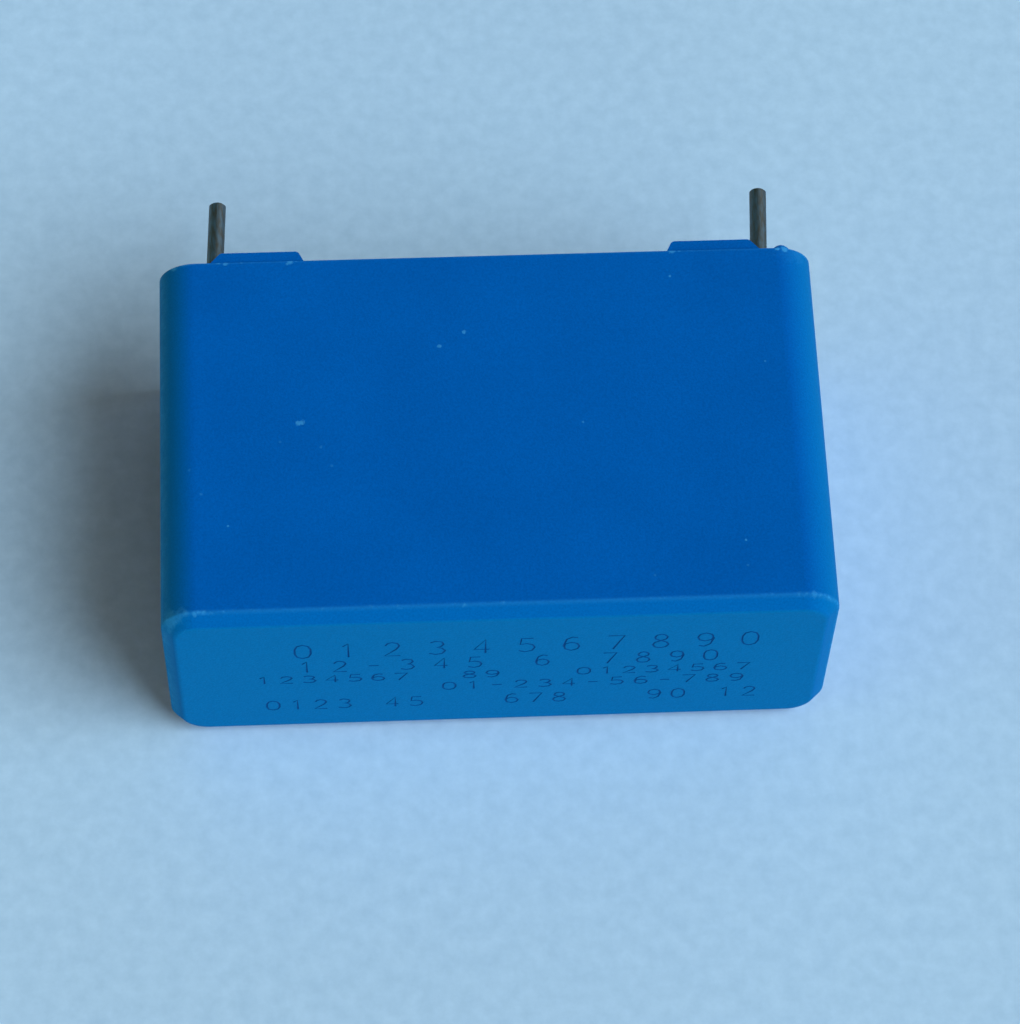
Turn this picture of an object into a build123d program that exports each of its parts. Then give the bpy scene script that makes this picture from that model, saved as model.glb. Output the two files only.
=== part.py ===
from build123d import *
from math import atan, degrees, radians, tan
import os

# A boxed film capacitor: a flattened film winding with a sprayed metal contact on each end, a wire lead
# welded to each contact, all potted with resin in a moulded case that stands off the board on four feet.
# It lies on one of its large sides. X runs along its length, Y from its closed face to its leads, and Z is up.
# The origin is the middle of the whole part's footprint, on the surface it lies on. Sizes are in millimetres.

# Case, moulded in one piece
end_margin = 1.85  # from a lead's middle to the case's end
case_height = 15.9  # closed face to rim, without the feet
case_thickness = 10.2
corner_radius = 1.5  # the four long edges
face_bevel = 0.5  # sloping band all round the closed face
bevel_blend = 0.3  # rounding between that band and the closed face
crease_blend = 0.15  # rounding between that band and the side walls
wall = 0.9  # side walls, at the rim
closed_wall = 1.0
inner_radius = 0.8  # the cavity's corners, at its floor
cavity_floor_radius = 0.5
mould_draft = 0.5  # degrees, on the inside walls

# Stand-off feet, on the rims of the two large walls
foot_height = 0.5
foot_length = 3.8  # along X, at the rim
foot_inner_slope = 64  # degrees, at the end towards the case's middle
foot_outer_slope = 48
foot_setback = 2.05  # from the case's end to a foot
foot_inset = 0.1  # the narrow ledge that the rim leaves on each side of a foot
foot_blend = 0.2  # rounding of a foot's upper corners

# Leads
lead_pitch = 22.5
lead_diameter = 0.7
lead_length = 5.3  # beyond the feet
left_lead_lean = 2.6  # degrees, towards +X
right_lead_lean = 3.4
lead_bend_end = 0.25  # beyond the rim; the bend starts at the resin's surface
lead_end_break = 0.06
weld_depth = 0.1  # how far a lead is pressed into its contact
weld_end_margin = 2.0  # from the contact's far edge to the lead's inner end

# Winding and its sprayed contacts
winding_offset = 0.1  # it sits this far to one side of the case's middle, towards +X, and its leads with it
floor_clearance = 0.5  # from the cavity's floor to the winding
side_clearance = 0.45  # from the large walls to the winding, at the cavity's floor
resin_cover = 1.4  # over the winding
slit_width = 4.6  # the mandrel's hole, pressed flat
slit_gap = 0.2
contact_thickness = 0.6
contact_edge_break = 0.15

# Resin
resin_recess = 0.6  # below the rim
meniscus = 0.3  # how far the resin climbs the walls, and how far out from them it does so
meniscus_land = 0.05  # its edge, left on the wall
meniscus_blend = 0.4
collar_height = 0.25  # how far the resin climbs a lead
collar_width = 0.3
collar_land = 0.05  # its edge, left round the lead

# Where things lie along Y
closed_y = -(case_height + foot_height + lead_length) / 2
crease_y = closed_y + face_bevel
rim_y = closed_y + case_height
foot_middle_y = rim_y + foot_height / 2
lead_tip_y = rim_y + foot_height + lead_length
cavity_floor_y = closed_y + closed_wall
resin_y = rim_y - resin_recess
bend_middle_y = (resin_y + rim_y + lead_bend_end) / 2
winding_width = resin_y - resin_cover - cavity_floor_y - floor_clearance
winding_y = cavity_floor_y + floor_clearance + winding_width / 2
weld_end_y = cavity_floor_y + floor_clearance + weld_end_margin

# Where things lie along X and Z: outwards from the winding's middle, and for the feet from the case's
mid_z = case_thickness / 2
lead_radius = lead_diameter / 2
lead_x = lead_pitch / 2
contact_face_x = lead_x - lead_radius + weld_depth
film_end_x = contact_face_x - contact_thickness
case_length = lead_pitch + 2 * end_margin
foot_x = case_length / 2 - foot_setback - foot_length / 2

# The cavity at its floor, where the mould's core is smallest
cavity_depth = case_height - closed_wall
draft_growth = cavity_depth * tan(radians(mould_draft))
core_length = case_length - 2 * (wall + draft_growth)
core_thickness = case_thickness - 2 * (wall + draft_growth)
winding_thickness = core_thickness - 2 * side_clearance


def across(y):
    """The plane square to the case's height at y, facing the leads."""
    return Plane(origin=(0, y, mid_z), x_dir=(1, 0, 0), z_dir=(0, 1, 0))


def along(x, facing=1):
    """The plane square to the winding's axis, at x from the winding's middle."""
    return Plane(origin=(winding_offset + x, winding_y, mid_z), x_dir=(0, 1, 0), z_dir=(facing, 0, 0))


def make_lead(side, lean):
    """A lead: straight in the resin, bent slightly where it comes out, then straight to its end."""
    root_x = winding_offset + side * lead_x
    start = (root_x, weld_end_y)
    bend = (root_x, bend_middle_y)
    tip = (root_x + (lead_tip_y - bend_middle_y) * tan(radians(lean)), lead_tip_y)
    bend_radius = (bend_middle_y - resin_y) / tan(radians(lean) / 2)
    with BuildPart() as lead:
        with BuildLine(Plane.XY.offset(mid_z)) as route:
            FilletPolyline(start, bend, tip, radius=bend_radius)
        with BuildSketch(Plane(origin=(root_x, weld_end_y, mid_z), z_dir=(0, 1, 0))):
            Circle(lead_radius)
        sweep(path=route.wires()[0])
        chamfer(lead.faces().sort_by(Axis.Y)[-1].edges(), length=lead_end_break)
    return lead.part


def make_contact(side, lead):
    """The metal sprayed on one end of the winding, with the groove that its lead is pressed into."""
    with BuildPart() as contact:
        with BuildSketch(along(side * film_end_x, side)):
            SlotOverall(winding_width, winding_thickness)
        extrude(amount=contact_thickness)
        outer_face = contact.faces().sort_by(Axis.X)[-1 if side > 0 else 0]
        chamfer(outer_face.edges(), length=contact_edge_break)
        add(lead, mode=Mode.SUBTRACT)
    return contact.part


lead_left = make_lead(-1, left_lead_lean)
lead_right = make_lead(1, right_lead_lean)
sprayed_contact_left = make_contact(-1, lead_left)
sprayed_contact_right = make_contact(1, lead_right)

# The film is wound round a mandrel and pressed flat, so its section is a slot with a flat slit at its core.
with BuildPart() as film_winding:
    with BuildSketch(along(-film_end_x)):
        SlotOverall(winding_width, winding_thickness)
        SlotOverall(slit_width, slit_gap, mode=Mode.SUBTRACT)
    extrude(amount=2 * film_end_x)

# The space inside the case, as the mould's core leaves it: it widens from its floor to the rim.
with BuildPart() as cavity:
    with BuildSketch(across(cavity_floor_y)):
        RectangleRounded(core_length, core_thickness, inner_radius)
    extrude(amount=cavity_depth, taper=-mould_draft)
    fillet(cavity.faces().sort_by(Axis.Y)[0].edges(), radius=cavity_floor_radius)

with BuildPart() as case:
    with BuildSketch(across(closed_y)):
        RectangleRounded(case_length, case_thickness, corner_radius)
    extrude(amount=case_height)
    chamfer(case.faces().sort_by(Axis.Y)[0].edges(), length=face_bevel)
    fillet(case.faces().sort_by(Axis.Y)[0].edges(), radius=bevel_blend)
    crease_edges = case.edges().filter_by_position(Axis.Y, crease_y, crease_y)
    fillet(crease_edges, radius=crease_blend)
    add(cavity.part, mode=Mode.SUBTRACT)
    foot_thickness = wall - 2 * foot_inset
    for foot_z in (foot_inset, case_thickness - foot_inset - foot_thickness):
        with BuildSketch(Plane.XY.offset(foot_z)) as foot_profile:
            with Locations((-foot_x, foot_middle_y)):
                Trapezoid(foot_length, foot_height, foot_outer_slope, foot_inner_slope)
            with Locations((foot_x, foot_middle_y)):
                Trapezoid(foot_length, foot_height, foot_inner_slope, foot_outer_slope)
            fillet(foot_profile.vertices().group_by(Axis.Y)[-1], radius=foot_blend)
        extrude(amount=foot_thickness)

# The resin takes the lower part of the cavity, with a raised edge at the walls and a collar at each lead.
wall_at_resin = wall + resin_recess * tan(radians(mould_draft))
pool_length = case_length - 2 * (wall_at_resin + meniscus)
pool_thickness = case_thickness - 2 * (wall_at_resin + meniscus)
pool_slope = degrees(atan((meniscus - meniscus_land) / meniscus))
collar_slope = degrees(atan((collar_width - collar_land) / collar_height))
with BuildPart() as potting_resin:
    add(cavity.part)
    split(bisect_by=across(resin_y + meniscus), keep=Keep.BOTTOM)
    with BuildSketch(across(resin_y)):
        RectangleRounded(pool_length, pool_thickness, inner_radius)
    extrude(amount=meniscus, taper=-pool_slope, mode=Mode.SUBTRACT)
    pool_edges = potting_resin.edges().filter_by_position(Axis.Y, resin_y, resin_y)
    fillet(pool_edges, radius=meniscus_blend)
    with BuildSketch(across(resin_y)):
        with Locations((winding_offset - lead_x, 0), (winding_offset + lead_x, 0)):
            Circle(lead_radius + collar_width)
    extrude(amount=collar_height, taper=collar_slope)
    with BuildSketch(along(-film_end_x)):
        SlotOverall(winding_width, winding_thickness)
    extrude(amount=2 * film_end_x, mode=Mode.SUBTRACT)
    for held in (sprayed_contact_left, sprayed_contact_right, lead_left, lead_right):
        add(held, mode=Mode.SUBTRACT)

os.makedirs("parts", exist_ok=True)
pieces = {
    "case": case.part,
    "potting_resin": potting_resin.part,
    "film_winding": film_winding.part,
    "sprayed_contact_left": sprayed_contact_left,
    "sprayed_contact_right": sprayed_contact_right,
    "lead_left": lead_left,
    "lead_right": lead_right,
}
for name, piece in pieces.items():
    piece.label = name
    export_step(piece, f"parts/{name}.step")
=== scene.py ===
import math

import bmesh
import bpy
from mathutils import Matrix, Vector


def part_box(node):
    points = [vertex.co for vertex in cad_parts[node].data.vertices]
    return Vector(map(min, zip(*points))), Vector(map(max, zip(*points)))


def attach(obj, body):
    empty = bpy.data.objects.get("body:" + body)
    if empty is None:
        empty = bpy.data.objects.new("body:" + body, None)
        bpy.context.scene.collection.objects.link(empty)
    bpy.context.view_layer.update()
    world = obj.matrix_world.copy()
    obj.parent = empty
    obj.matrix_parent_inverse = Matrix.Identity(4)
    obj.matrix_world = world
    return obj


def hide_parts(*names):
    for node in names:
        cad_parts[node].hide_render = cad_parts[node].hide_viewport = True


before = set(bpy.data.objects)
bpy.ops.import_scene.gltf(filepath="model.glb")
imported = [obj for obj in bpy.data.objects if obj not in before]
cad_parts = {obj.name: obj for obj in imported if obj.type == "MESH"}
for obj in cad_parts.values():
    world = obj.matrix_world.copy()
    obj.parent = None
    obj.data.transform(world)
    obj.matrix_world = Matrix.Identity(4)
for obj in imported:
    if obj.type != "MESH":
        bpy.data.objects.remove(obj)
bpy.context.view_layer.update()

MM = 0.001


def linear(hex_colour):
    """An sRGB hex colour as linear red, green, blue and alpha."""
    parts = [int(hex_colour[i:i + 2], 16) / 255 for i in (1, 3, 5)]
    return [p / 12.92 if p <= 0.04045 else ((p + 0.055) / 1.055) ** 2.4 for p in parts] + [1.0]


def add_node(tree, kind, inputs=None, **settings):
    """Adds one node to a tree, with its settings, and its inputs, each a value or a socket to link."""
    node = tree.nodes.new(kind)
    for name, value in settings.items():
        setattr(node, name, value)
    for name, value in (inputs or {}).items():
        if isinstance(value, bpy.types.NodeSocket):
            tree.links.new(value, node.inputs[name])
        else:
            node.inputs[name].default_value = value
    return node


def new_material(name, inputs):
    """A material with one Principled shader and its output; returns the material, its tree and the shader."""
    material = bpy.data.materials.new(name)
    material.use_nodes = True
    tree = material.node_tree
    tree.nodes.clear()
    shader = add_node(tree, "ShaderNodeBsdfPrincipled", inputs)
    add_node(tree, "ShaderNodeOutputMaterial", {"Surface": shader.outputs["BSDF"]})
    return material, tree, shader


def new_piece(name, bm):
    """A piece made from a bmesh, with its object at the origin."""
    mesh = bpy.data.meshes.new(name)
    bm.to_mesh(mesh)
    bm.free()
    piece = bpy.data.objects.new(name, mesh)
    bpy.context.scene.collection.objects.link(piece)
    return piece


def finished_mesh(piece):
    """A new mesh of a piece with its modifiers, or its curve's thickness, applied."""
    return bpy.data.meshes.new_from_object(piece.evaluated_get(bpy.context.evaluated_depsgraph_get()))


# Camera: in front of the closed face and looking down on the large side, turned and rolled by a few degrees
view_yaw = math.radians(4.607)
view_elevation = math.radians(62.819)
view_roll = math.radians(-2.406)
aim = Vector((0.6838, -3.9518, 5.25)) * MM
distance = 160.0746 * MM
forward = Vector((math.sin(view_yaw) * math.cos(view_elevation),
                  math.cos(view_yaw) * math.cos(view_elevation), -math.sin(view_elevation)))
level = Vector((math.cos(view_yaw), -math.sin(view_yaw), 0.0))
down = forward.cross(level)
right = math.cos(view_roll) * level + math.sin(view_roll) * down
low = -math.sin(view_roll) * level + math.cos(view_roll) * down
camera_data = bpy.data.cameras.new("camera")
camera = bpy.data.objects.new("camera", camera_data)
bpy.context.scene.collection.objects.link(camera)
camera_data.sensor_width = 36.0
camera_data.lens = 140.455
camera_data.clip_start = 0.01
camera_data.clip_end = 10.0
turn = Matrix((right, -low, -forward)).transposed()
camera.matrix_world = Matrix.Translation(aim - forward * distance) @ turn.to_4x4()
bpy.context.scene.camera = camera

# Places on the case, from its box, in metres: Y runs from its closed face to its feet
foot_height = 0.5 * MM
band_width = 0.5 * MM
case_low, case_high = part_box("case")
case_end = case_high[0]
large_side = case_high[2]
closed_face = case_low[1]
crease = closed_face + band_width
rim = case_high[1] - foot_height

# Nicks, painted glints and specks of dust. Each has its place along X, its distance along Y from its group's
# edge, its height over the large side and how far it reaches, all in millimetres, and how pale it is, up to
# about 1.
# Painted glints at the base of the feet, with small nicks: pale spots along the ledge where the feet begin
foot_nicks_and_glints = [
    (-10.38, 0, 0, 0.12, 0.8), (-9.75, 0, 0, 0.08, 0.5), (-7.8, 0, 0, 0.16, 0.9),
    (7.5, 0, 0, 0.15, 0.9), (7.75, 0, 0, 0.1, 0.5), (-12.49, 0, -0.2, 0.22, 0.8),
]
# Painted highlights on the lit lip of the flash and a soft patch of painted light below it, with its nick
flash_nicks_and_glints = [
    (11.7, -0.03, 0, 0.14, 1.1), (12.0, -0.08, -0.05, 0.17, 1.0),
    (12.1, -0.15, -0.1, 0.6, 0.08), (12.5, -0.1, -0.3, 0.45, 0.15),
]
corner_nicks = [
    (-12.75, 0, -0.6, 0.5, 0.5), (-12.4, -0.05, -0.3, 0.3, 0.35),
    (-12.1, 0, -0.1, 0.14, 0.5), (-11.7, 0, -0.1, 0.12, 0.6),
    (11.4, 0, -0.1, 0.12, 0.4), (12.0, 0, -0.1, 0.14, 0.5), (12.5, 0, -0.2, 0.14, 0.5),
]
side_specks = [
    (-7.63, 8.04, 0, 0.13, 0.9), (-7.5, 8.07, 0, 0.1, 0.9), (-1.97, 11.32, 0, 0.07, 0.8),
    (-1.0, 11.92, 0, 0.07, 0.8), (3.51, 7.73, 0, 0.07, 0.6), (7.32, 14.23, 0, 0.07, 0.8),
    (10.84, 10.23, 0, 0.07, 0.6), (-10.41, 3.62, 0, 0.07, 0.8), (9.53, 2.35, 0, 0.07, 0.8),
    (-6.76, 6.95, 0, 0.07, 0.3), (5.93, 0.96, 0, 0.07, 0.3), (-8.35, 7.23, 0, 0.07, 0.3),
    (9.53, 1.27, 0, 0.07, 0.3), (-6.35, 6.1, 0, 0.07, 0.3), (-11.9, 6.11, 0, 0.07, 0.4),
    (-11.44, 5.04, 0, 0.07, 0.35),
]
nick_groups = [(rim, foot_nicks_and_glints), (rim, flash_nicks_and_glints), (crease, corner_nicks), (crease, side_specks)]


def wear_and_painted_light(tree, place, axes, from_middle, on_band):
    """How pale the case is at each place, from 0 to 1: its rubbed edges with painted highlights, painted
    sheen on the left, its nicks, painted glints and the dust on it.
    """
    # Rubs along the crease and just below the rim, about 0.1 mm wide, broken up every 0.4 mm, and denser in
    # the last 3 mm towards each end. They are part wear and part painted highlight on these edges; below the
    # rim they also paint light over the ledge's shade.
    patches = add_node(tree, "ShaderNodeTexNoise", {
        "Vector": place, "Scale": 2600.0, "Detail": 4.0, "Roughness": 0.65})
    needed = add_node(tree, "ShaderNodeMapRange", {
        "Value": from_middle.outputs[0], "From Min": case_end - 3.0 * MM, "From Max": case_end - 1.0 * MM,
        "To Min": 0.6, "To Max": 0.47})
    over = add_node(tree, "ShaderNodeMath", {
        0: patches.outputs["Fac"], 1: needed.outputs["Result"]}, operation="SUBTRACT")
    patch = add_node(tree, "ShaderNodeMapRange", {
        "Value": over.outputs[0], "From Min": 0.0, "From Max": 0.2, "To Min": 0.17})
    at_edge = []
    for edge, spread in ((crease, 0.12 * MM), (rim, 0.07 * MM)):
        off = add_node(tree, "ShaderNodeMath", {0: axes["Y"], 1: edge - 0.02 * MM}, operation="SUBTRACT")
        off = add_node(tree, "ShaderNodeMath", {0: off.outputs[0]}, operation="ABSOLUTE")
        at_edge.append(add_node(tree, "ShaderNodeMapRange", {
            "Value": off.outputs[0], "From Min": 0.0, "From Max": spread, "To Min": 1.0, "To Max": 0.0}))
    at_edge = add_node(tree, "ShaderNodeMath", {
        0: at_edge[0].outputs["Result"], 1: at_edge[1].outputs["Result"]}, operation="MAXIMUM")
    rubs_and_edge_highlights = add_node(tree, "ShaderNodeMath", {
        0: at_edge.outputs[0], 1: patch.outputs["Result"]}, operation="MULTIPLY")

    # Painted sheen on the long edges and the band on the left, 0.4 mm wide and speckled, as the lighter rim
    # that the left end catches
    left_edge_sheen = add_node(tree, "ShaderNodeMapRange", {
        "Value": axes["X"], "From Min": case_low[0] + 0.05 * MM, "From Max": case_low[0] + 0.45 * MM,
        "To Min": 1.0, "To Max": 0.0})
    off_middle = add_node(tree, "ShaderNodeMath", {0: axes["Z"], 1: large_side / 2}, operation="SUBTRACT")
    off_middle = add_node(tree, "ShaderNodeMath", {0: off_middle.outputs[0]}, operation="ABSOLUTE")
    on_long = add_node(tree, "ShaderNodeMapRange", {
        "Value": off_middle.outputs[0], "From Min": 3.1 * MM, "From Max": 3.9 * MM})
    speckle = add_node(tree, "ShaderNodeMapRange", {
        "Value": patches.outputs["Fac"], "From Min": 0.35, "From Max": 0.65, "To Min": 0.15, "To Max": 0.6})
    on_long = add_node(tree, "ShaderNodeMath", {
        0: on_long.outputs["Result"], 1: on_band.outputs["Result"]}, operation="MAXIMUM")
    left_edge_sheen = add_node(tree, "ShaderNodeMath", {
        0: left_edge_sheen.outputs["Result"], 1: on_long.outputs[0]}, operation="MULTIPLY")
    left_edge_sheen = add_node(tree, "ShaderNodeMath", {
        0: left_edge_sheen.outputs[0], 1: speckle.outputs["Result"]}, operation="MULTIPLY")
    pale = add_node(tree, "ShaderNodeMath", {
        0: rubs_and_edge_highlights.outputs[0], 1: left_edge_sheen.outputs[0]}, operation="MAXIMUM")

    # Nicks, specks of dust and painted glints, each with a broken outline
    ragged = add_node(tree, "ShaderNodeMapRange", {
        "Value": patches.outputs["Fac"], "From Min": 0.3, "From Max": 0.7, "To Min": 0.4, "To Max": 1.6})
    for edge, nicks in nick_groups:
        for x, y, z, reach, paleness in nicks:
            spot = (x * MM, edge + y * MM, large_side + z * MM)
            away = add_node(tree, "ShaderNodeVectorMath", {0: place, 1: spot}, operation="DISTANCE")
            broken = add_node(tree, "ShaderNodeMath", {
                0: away.outputs["Value"], 1: ragged.outputs["Result"]}, operation="MULTIPLY")
            nick = add_node(tree, "ShaderNodeMapRange", {
                "Value": broken.outputs[0], "From Min": 0.5 * reach * MM, "From Max": reach * MM,
                "To Min": paleness, "To Max": 0.0})
            pale = add_node(tree, "ShaderNodeMath", {
                0: pale.outputs[0], 1: nick.outputs["Result"]}, operation="MAXIMUM")
    return pale.outputs[0]


# PBT, glass filled and flame retardant, injection moulded in a spark-eroded mould. To the eye: deep blue with
# an even matt grain, faint flow marks and pale rubs where it was handled. As painted light, the closed face
# is a touch lighter, the band and the rounded ends take their own blues, and highlights and sheen lie along
# some edges.
def moulded_pbt(name, plain, flowed, ends_painted_light, band_painted_light, closed_painted_light, roughness):
    # So matt a grain gives back little of the room, and that little takes the plastic's own tint
    material, tree, shader = new_material(name, {
        "Roughness": roughness, "IOR": 1.57, "Specular IOR Level": 0.05, "Specular Tint": linear("#40D8E8")})
    place = add_node(tree, "ShaderNodeTexCoord").outputs["Object"]
    axes = add_node(tree, "ShaderNodeSeparateXYZ", {"Vector": place}).outputs

    # Flow marks, about 5 mm across
    flow = add_node(tree, "ShaderNodeTexNoise", {"Vector": place, "Scale": 200.0, "Detail": 3.0})
    flowed_part = add_node(tree, "ShaderNodeMapRange", {
        "Value": flow.outputs["Fac"], "From Min": 0.35, "From Max": 0.65})
    colour = add_node(tree, "ShaderNodeMix", {
        "Factor": flowed_part.outputs["Result"], "A": linear(plain), "B": linear(flowed)}, data_type="RGBA")

    # Painted light: the band round the closed face, then the rounded long edges and the ends, and the closed
    # face itself each take their own blue, for how the light falls on them
    on_band = add_node(tree, "ShaderNodeMapRange", {
        "Value": axes["Y"], "From Min": crease - 0.05 * MM, "From Max": crease + 0.05 * MM,
        "To Min": 1.0, "To Max": 0.0})
    from_middle = add_node(tree, "ShaderNodeMath", {0: axes["X"]}, operation="ABSOLUTE")
    on_end = add_node(tree, "ShaderNodeMapRange", {
        "Value": from_middle.outputs[0], "From Min": case_end - 1.3 * MM, "From Max": case_end - 0.2 * MM})
    on_closed = add_node(tree, "ShaderNodeMapRange", {
        "Value": axes["Y"], "From Min": closed_face + 0.001 * MM, "From Max": closed_face + 0.05 * MM,
        "To Min": 1.0, "To Max": 0.0})
    for where, paint in ((on_band, band_painted_light), (on_end, ends_painted_light), (on_closed, closed_painted_light)):
        colour = add_node(tree, "ShaderNodeMix", {
            "Factor": where.outputs["Result"], "A": colour.outputs["Result"], "B": linear(paint)},
            data_type="RGBA")

    # Where the wear and the painted highlights and sheen are strongest, its colour is halfway to a pale blue
    pale = wear_and_painted_light(tree, place, axes, from_middle, on_band)
    wear_and_highlight = add_node(tree, "ShaderNodeMath", {0: pale, 1: 0.5}, operation="MULTIPLY")
    colour = add_node(tree, "ShaderNodeMix", {
        "Factor": wear_and_highlight.outputs[0], "A": colour.outputs["Result"], "B": linear("#3A9CDC")}, data_type="RGBA")

    # The mould's grain is 0.03 mm; it is drawn at 0.08 mm, or it would not show
    grain = add_node(tree, "ShaderNodeTexNoise", {"Vector": place, "Scale": 12500.0, "Detail": 2.0})
    shade = add_node(tree, "ShaderNodeMapRange", {
        "Value": grain.outputs["Fac"], "From Min": 0.3, "From Max": 0.7, "To Min": 0.92, "To Max": 1.08})
    colour = add_node(tree, "ShaderNodeVectorMath", {
        0: colour.outputs["Result"], "Scale": shade.outputs["Result"]}, operation="SCALE")
    relief = add_node(tree, "ShaderNodeBump", {
        "Height": grain.outputs["Fac"], "Distance": 0.015 * MM, "Strength": 0.7})
    tree.links.new(colour.outputs["Vector"], shader.inputs["Base Color"])
    tree.links.new(relief.outputs["Normal"], shader.inputs["Normal"])
    return material


# Epoxy, filled, poured and cured: satin, pale beige, slightly wavy, with a few pinholes of trapped air
def poured_epoxy():
    material, tree, shader = new_material("epoxy_poured_beige", {"Roughness": 0.34, "IOR": 1.55})
    place = add_node(tree, "ShaderNodeTexCoord").outputs["Object"]
    # Clouds and waves, about 3 mm across
    cloud = add_node(tree, "ShaderNodeTexNoise", {"Vector": place, "Scale": 300.0, "Detail": 4.0})
    colour = add_node(tree, "ShaderNodeMix", {
        "Factor": cloud.outputs["Fac"], "A": linear("#B5AD96"), "B": linear("#CCC5AE")}, data_type="RGBA")
    # Pinholes, about 0.15 mm across, two or three in a square centimetre, painted darker as painted shade
    # inside them
    bubbles = add_node(tree, "ShaderNodeTexVoronoi", {"Vector": place, "Scale": 500.0, "Randomness": 1.0})
    hole = add_node(tree, "ShaderNodeMapRange", {
        "Value": bubbles.outputs["Distance"], "From Min": 0.03, "From Max": 0.06})
    colour = add_node(tree, "ShaderNodeMix", {
        "Factor": hole.outputs["Result"], "A": linear("#837B66"), "B": colour.outputs["Result"]},
        data_type="RGBA")
    wave = add_node(tree, "ShaderNodeBump", {
        "Height": cloud.outputs["Fac"], "Distance": 0.12 * MM, "Strength": 0.4})
    pit = add_node(tree, "ShaderNodeBump", {
        "Height": hole.outputs["Result"], "Distance": 0.03 * MM, "Strength": 0.8,
        "Normal": wave.outputs["Normal"]})
    tree.links.new(colour.outputs["Result"], shader.inputs["Base Color"])
    tree.links.new(pit.outputs["Normal"], shader.inputs["Normal"])
    return material


# Copper wire, drawn and hot tinned: smooth, grey, dulled by a thin skin of oxide, with faint lines along it
def tinned_wire():
    material, tree, shader = new_material("copper_wire_tinned", {"Metallic": 1.0})
    place = add_node(tree, "ShaderNodeTexCoord").outputs["Object"]
    # The die's lines are 0.02 mm; they are drawn 0.05 mm wide and 2 mm long
    along = add_node(tree, "ShaderNodeMapping", {"Vector": place, "Scale": (20000, 500, 20000)})
    lines = add_node(tree, "ShaderNodeTexNoise", {
        "Vector": along.outputs["Vector"], "Scale": 1.0, "Detail": 2.0})
    # The oxide lies in brownish streaks, about 0.1 mm wide and 0.5 mm long
    streaked = add_node(tree, "ShaderNodeMapping", {"Vector": place, "Scale": (9000, 2000, 9000)})
    skin = add_node(tree, "ShaderNodeTexNoise", {
        "Vector": streaked.outputs["Vector"], "Scale": 1.0, "Detail": 3.0})
    clean = add_node(tree, "ShaderNodeMapRange", {
        "Value": skin.outputs["Fac"], "From Min": 0.35, "From Max": 0.65})
    colour = add_node(tree, "ShaderNodeMix", {
        "Factor": clean.outputs["Result"], "A": linear("#57524A"), "B": linear("#5C6A72")}, data_type="RGBA")
    rough = add_node(tree, "ShaderNodeMapRange", {
        "Value": lines.outputs["Fac"], "To Min": 0.38, "To Max": 0.6})
    relief = add_node(tree, "ShaderNodeBump", {
        "Height": lines.outputs["Fac"], "Distance": 0.004 * MM, "Strength": 0.5})
    tree.links.new(colour.outputs["Result"], shader.inputs["Base Color"])
    tree.links.new(rough.outputs["Result"], shader.inputs["Roughness"])
    tree.links.new(relief.outputs["Normal"], shader.inputs["Normal"])
    return material


# Zinc, flame sprayed on the winding's ends: dull grey, with grains of about 0.1 mm, like fine sandpaper
def sprayed_zinc():
    material, tree, shader = new_material("zinc_sprayed", {"Metallic": 1.0, "Roughness": 0.6})
    place = add_node(tree, "ShaderNodeTexCoord").outputs["Object"]
    drops = add_node(tree, "ShaderNodeTexNoise", {"Vector": place, "Scale": 8000.0, "Detail": 3.0})
    colour = add_node(tree, "ShaderNodeMix", {
        "Factor": drops.outputs["Fac"], "A": linear("#85888A"), "B": linear("#B4B8BA")}, data_type="RGBA")
    relief = add_node(tree, "ShaderNodeBump", {
        "Height": drops.outputs["Fac"], "Distance": 0.05 * MM, "Strength": 0.8})
    tree.links.new(colour.outputs["Result"], shader.inputs["Base Color"])
    tree.links.new(relief.outputs["Normal"], shader.inputs["Normal"])
    return material


# Polypropylene film with vapour-deposited zinc, wound flat: silvery, with the turns' edges as fine lines
def metallised_film():
    material, tree, shader = new_material("polypropylene_metallised", {"Metallic": 0.8, "Roughness": 0.32})
    place = add_node(tree, "ShaderNodeTexCoord").outputs["Object"]
    # The film is 0.006 mm thick; its turns are drawn 0.1 mm apart
    across = add_node(tree, "ShaderNodeMapping", {"Vector": place, "Scale": (300, 300, 10000)})
    turns = add_node(tree, "ShaderNodeTexNoise", {
        "Vector": across.outputs["Vector"], "Scale": 1.0, "Detail": 2.0})
    colour = add_node(tree, "ShaderNodeMix", {
        "Factor": turns.outputs["Fac"], "A": linear("#A9ABAC"), "B": linear("#CFD1D2")}, data_type="RGBA")
    tree.links.new(colour.outputs["Result"], shader.inputs["Base Color"])
    return material


# Paper, matt and pale blue, with fibres that show only as a faint unevenness, about 0.7 mm across
def matt_paper():
    material, tree, shader = new_material("paper_pale_blue", {"Roughness": 0.9, "Specular IOR Level": 0.2})
    place = add_node(tree, "ShaderNodeTexCoord").outputs["Object"]
    fibres = add_node(tree, "ShaderNodeTexNoise", {
        "Vector": place, "Scale": 1400.0, "Detail": 5.0, "Roughness": 0.6})
    uneven = add_node(tree, "ShaderNodeMapRange", {
        "Value": fibres.outputs["Fac"], "From Min": 0.3, "From Max": 0.7})
    colour = add_node(tree, "ShaderNodeMix", {
        "Factor": uneven.outputs["Result"], "A": linear("#94C0E3"), "B": linear("#9FCBED")}, data_type="RGBA")
    tree.links.new(colour.outputs["Result"], shader.inputs["Base Color"])
    return material


# The band, the ends and the closed face take lighter or greener blues as painted light
case_plastic = moulded_pbt("pbt_moulded_blue", plain="#0056AE", flowed="#0053A9", ends_painted_light="#0061A3",
                           band_painted_light="#0058A6", closed_painted_light="#0066A8", roughness=0.7)
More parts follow.
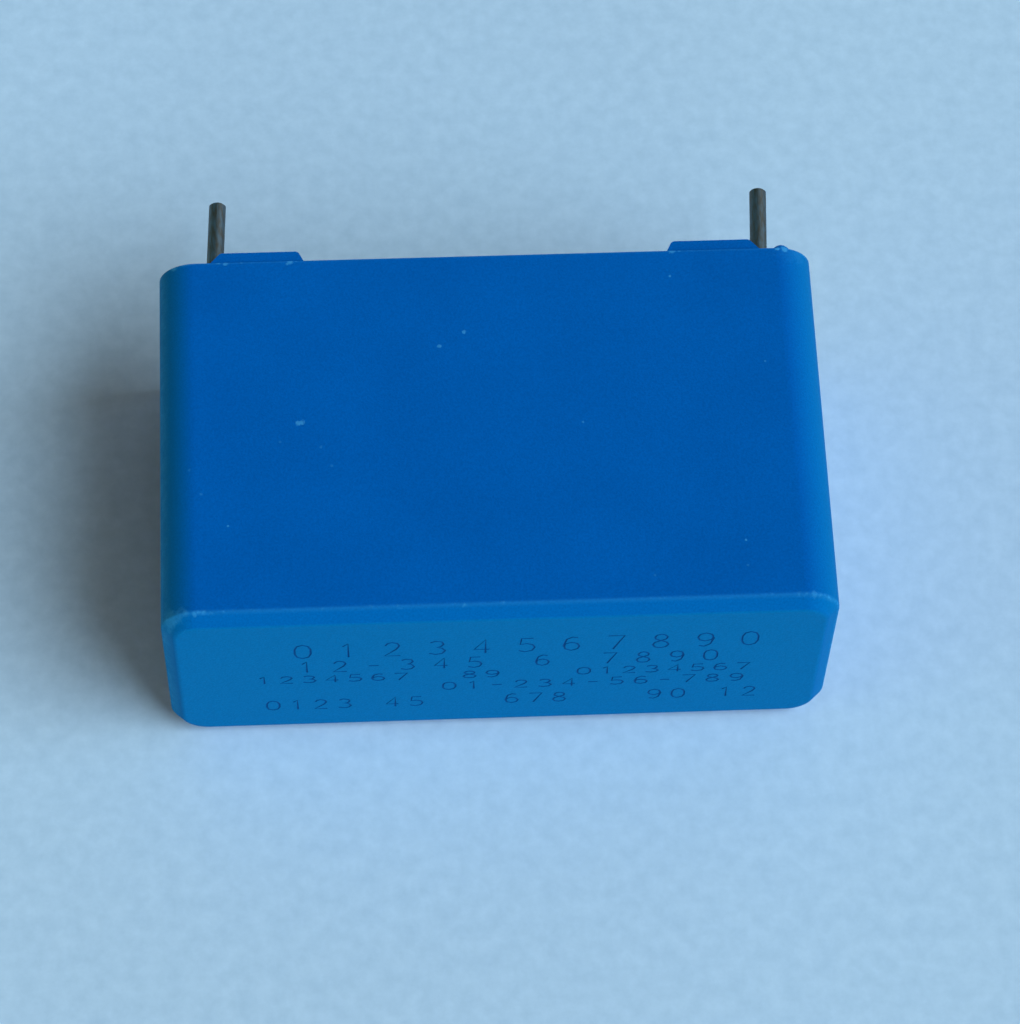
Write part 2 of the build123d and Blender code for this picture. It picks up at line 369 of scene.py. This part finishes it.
# Where the laser has cut, the plastic is darker and a little rougher, the same all over
mark_blue = "#054484"
case_mark = moulded_pbt("pbt_laser_marked", plain=mark_blue, flowed=mark_blue, ends_painted_light=mark_blue,
                        band_painted_light=mark_blue, closed_painted_light=mark_blue, roughness=0.75)
wire = tinned_wire()
zinc = sprayed_zinc()
finishes = {
    "case": case_plastic,
    "potting_resin": poured_epoxy(),
    "film_winding": metallised_film(),
    "sprayed_contact_left": zinc,
    "sprayed_contact_right": zinc,
    "lead_left": wire,
    "lead_right": wire,
}
for name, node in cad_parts.items():
    node.data.materials.clear()
    node.data.materials.append(finishes[name])

# The marks: plain numbers that a laser cut into the closed face, in five rows. The laser draws each digit
# with one stroke, given here as corners on a grid.
mark_stroke = 0.12 * MM
mark_depth = 0.025 * MM
grid_width = 4
grid_height = 6
strokes = {
    "0": [(2, 0), (0.6, 0.6), (0, 2), (0, 4), (0.6, 5.4), (2, 6),
          (3.4, 5.4), (4, 4), (4, 2), (3.4, 0.6), (2, 0)],
    "1": [(0.8, 4.8), (2.2, 6), (2.2, 0)],
    "2": [(0.2, 4.6), (0.8, 5.6), (2, 6), (3.3, 5.5), (3.7, 4.4), (3, 3), (0, 0), (4, 0)],
    "3": [(0.2, 5.3), (1.6, 6), (3.2, 5.6), (3.6, 4.5), (2.8, 3.4), (1.8, 3.15),
          (3.2, 2.8), (4, 1.6), (3.2, 0.4), (1.6, 0), (0, 0.6)],
    "4": [(3.9, 1.7), (0, 1.7), (2.9, 6), (2.9, 0)],
    "5": [(3.6, 6), (0.6, 6), (0.3, 3.3), (2, 3.7), (3.5, 3.1), (4, 1.9), (3.3, 0.5), (1.6, 0), (0, 0.6)],
    "6": [(3.5, 5.6), (2.2, 6), (0.7, 5), (0, 2.4), (0.5, 0.7), (2, 0),
          (3.5, 0.6), (4, 1.9), (3.4, 3.1), (2, 3.6), (0.5, 3), (0.15, 2)],
    "7": [(0, 6), (4, 6), (1.3, 0)],
    "8": [(2, 3.2), (0.7, 3.9), (0.4, 4.8), (1, 5.7), (2, 6), (3, 5.7), (3.6, 4.8), (3.3, 3.9), (2, 3.2),
          (0.5, 2.4), (0, 1.4), (0.7, 0.3), (2, 0), (3.3, 0.3), (4, 1.4), (3.5, 2.4), (2, 3.2)],
    "9": [(0.5, 0.4), (1.8, 0), (3.3, 1), (4, 3.6), (3.5, 5.3), (2, 6),
          (0.5, 5.4), (0, 4.1), (0.6, 2.9), (2, 2.4), (3.5, 3), (3.85, 4)],
    "-": [(0.5, 2.8), (3.5, 2.8)],
}
# Each row, in millimetres: its digits, their width and height, the pitch from one to the next, and how far
# the first one's middle is from the case's middle and its base from the surface that the case lies on
mark_rows = [
    ("01234567890", 0.62, 1.2, 1.74, -7.7, 6.75),
    ("12-345 6 7890", 0.52, 0.95, 1.32, -7.6, 5.45),
    ("1234567  89   01234567", 0.5, 0.62, 0.9, -9.3, 4.5),
    ("01-234-56-789", 0.5, 0.68, 0.95, -2.0, 3.45),
    ("0123 45   678   90 12", 0.5, 0.85, 0.95, -9.0, 2.0),
]
cut_lines = bpy.data.curves.new("marks", "CURVE")
cut_lines.dimensions = "3D"
cut_lines.bevel_depth = mark_stroke / 2
cut_lines.bevel_resolution = 1
cut_lines.use_fill_caps = True
stroke_middle = closed_face + mark_depth - mark_stroke / 2
for digits, width, height, pitch, start, base in mark_rows:
    for place, digit in enumerate(digits):
        if digit == " ":
            continue
        corners = strokes[digit]
        line = cut_lines.splines.new("POLY")
        line.points.add(len(corners) - 1)
        for point, (across, up) in zip(line.points, corners):
            x = start + place * pitch + (across / grid_width - 0.5) * width
            z = base + up / grid_height * height
            point.co = (x * MM, stroke_middle, z * MM, 1)
marker = bpy.data.objects.new("marks", cut_lines)
bpy.context.scene.collection.objects.link(marker)
cutters = bmesh.new()
cutters.from_mesh(finished_mesh(marker))
bpy.data.objects.remove(marker)
bmesh.ops.remove_doubles(cutters, verts=cutters.verts, dist=1e-8)
bmesh.ops.recalc_face_normals(cutters, faces=cutters.faces)
cutter = new_piece("mark_cutter", cutters)
cutter.data.materials.append(case_mark)

# The case, with the marks cut in. Its triangles are merged first, and the normals they came with are dropped.
shell = bmesh.new()
shell.from_mesh(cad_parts["case"].data)
bmesh.ops.remove_doubles(shell, verts=shell.verts, dist=1e-7)
housing = new_piece("case_moulded", shell)
for layer in [a for a in housing.data.attributes if a.name in ("custom_normal", "sharp_face")]:
    housing.data.attributes.remove(layer)
housing.data.materials.clear()
housing.data.materials.append(case_plastic)
cut = housing.modifiers.new("marks", "BOOLEAN")
cut.operation = "DIFFERENCE"
cut.solver = "EXACT"
cut.material_mode = "TRANSFER"
cut.use_self = True
cut.object = cutter
cut_mesh = finished_mesh(housing)
housing.modifiers.clear()
housing.data = cut_mesh
bpy.data.objects.remove(cutter)
# The closed face and the cuts in it stay flat shaded
facing_closed = -0.9999
for polygon in housing.data.polygons:
    polygon.use_smooth = polygon.material_index == 0 and polygon.normal.y > facing_closed
housing.data.set_sharp_from_angle(angle=math.radians(30))
weights = housing.modifiers.new("flat faces stay flat", "WEIGHTED_NORMAL")
weights.mode = "FACE_AREA"
weights.keep_sharp = True
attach(housing, "root")
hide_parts("case")

# A curl of flash on the rim, left by the mould where it closed: a thin lip that bends down towards both ends.
# It is shaped in millimetres, as a ball pressed to 0.72 by 0.22 by 0.16, and then brought to metres.
curl = bmesh.new()
bmesh.ops.create_uvsphere(curl, u_segments=16, v_segments=10, radius=1.0)
bmesh.ops.scale(curl, vec=(0.36, 0.11, 0.08), verts=curl.verts)
for vert in curl.verts:
    vert.co.y -= 0.9 * vert.co.x ** 2
    vert.co.z -= 0.5 * vert.co.x ** 2
bmesh.ops.scale(curl, vec=(MM, MM, MM), verts=curl.verts)
bmesh.ops.translate(curl, vec=(11.85 * MM, rim + 0.07 * MM, large_side - 0.1 * MM), verts=curl.verts)
flash = new_piece("case_flash", curl)
for polygon in flash.data.polygons:
    polygon.use_smooth = True
flash.data.materials.append(case_plastic)
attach(flash, "root")

# Floor: matt paper, 2 m across
bpy.ops.mesh.primitive_plane_add(size=2.0)
floor = bpy.context.object
floor.name = "floor"
floor.data.materials.append(matt_paper())

# Light: a broad window at the front right, a low one in front, a far one behind the leads, and a dim room on
# the left. Whatever else a surface faces gives it a faint warm fill, and the eye sees a plain pale backdrop.
world = bpy.data.worlds.new("world")
bpy.context.scene.world = world
world.use_nodes = True
tree = world.node_tree
tree.nodes.clear()
fill = add_node(tree, "ShaderNodeBackground", {"Color": linear("#FFB47A"), "Strength": 0.18})
backdrop = add_node(tree, "ShaderNodeBackground", {"Color": linear("#90CCDC"), "Strength": 0.45})
rays = add_node(tree, "ShaderNodeLightPath").outputs
seen = add_node(tree, "ShaderNodeMath", {
    0: rays["Is Camera Ray"], 1: rays["Is Glossy Ray"]}, operation="MAXIMUM")
seen = add_node(tree, "ShaderNodeMath", {
    0: seen.outputs[0], 1: rays["Is Transmission Ray"]}, operation="MAXIMUM")
sky = add_node(tree, "ShaderNodeMixShader", {0: seen.outputs[0], 1: fill.outputs[0], 2: backdrop.outputs[0]})
add_node(tree, "ShaderNodeOutputWorld", {"Surface": sky.outputs[0]})


def add_sun(name, colour, strength, spread, direction):
    """A sun lamp that shines from a direction, with a disc of that many degrees."""
    data = bpy.data.lights.new(name, "SUN")
    data.color = linear(colour)[:3]
    data.energy = strength
    data.angle = math.radians(spread)
    lamp = bpy.data.objects.new(name, data)
    bpy.context.scene.collection.objects.link(lamp)
    lamp.rotation_mode = "QUATERNION"
    lamp.rotation_quaternion = Vector(direction).to_track_quat("Z", "Y")


add_sun("window", "#FFFFFF", 3.68, 52, (0.66, -0.33, 0.67))
add_sun("low window", "#FFF4DC", 1.4, 36, (0.12, -0.98, 0.09))
add_sun("far window", "#C4E0FF", 1.0, 60, (0.5, 0.86, 0.1))
add_sun("room", "#E8F4C0", 1.45, 40, (-0.96, -0.2, 0.05))

bpy.context.scene.view_settings.view_transform = "Standard"
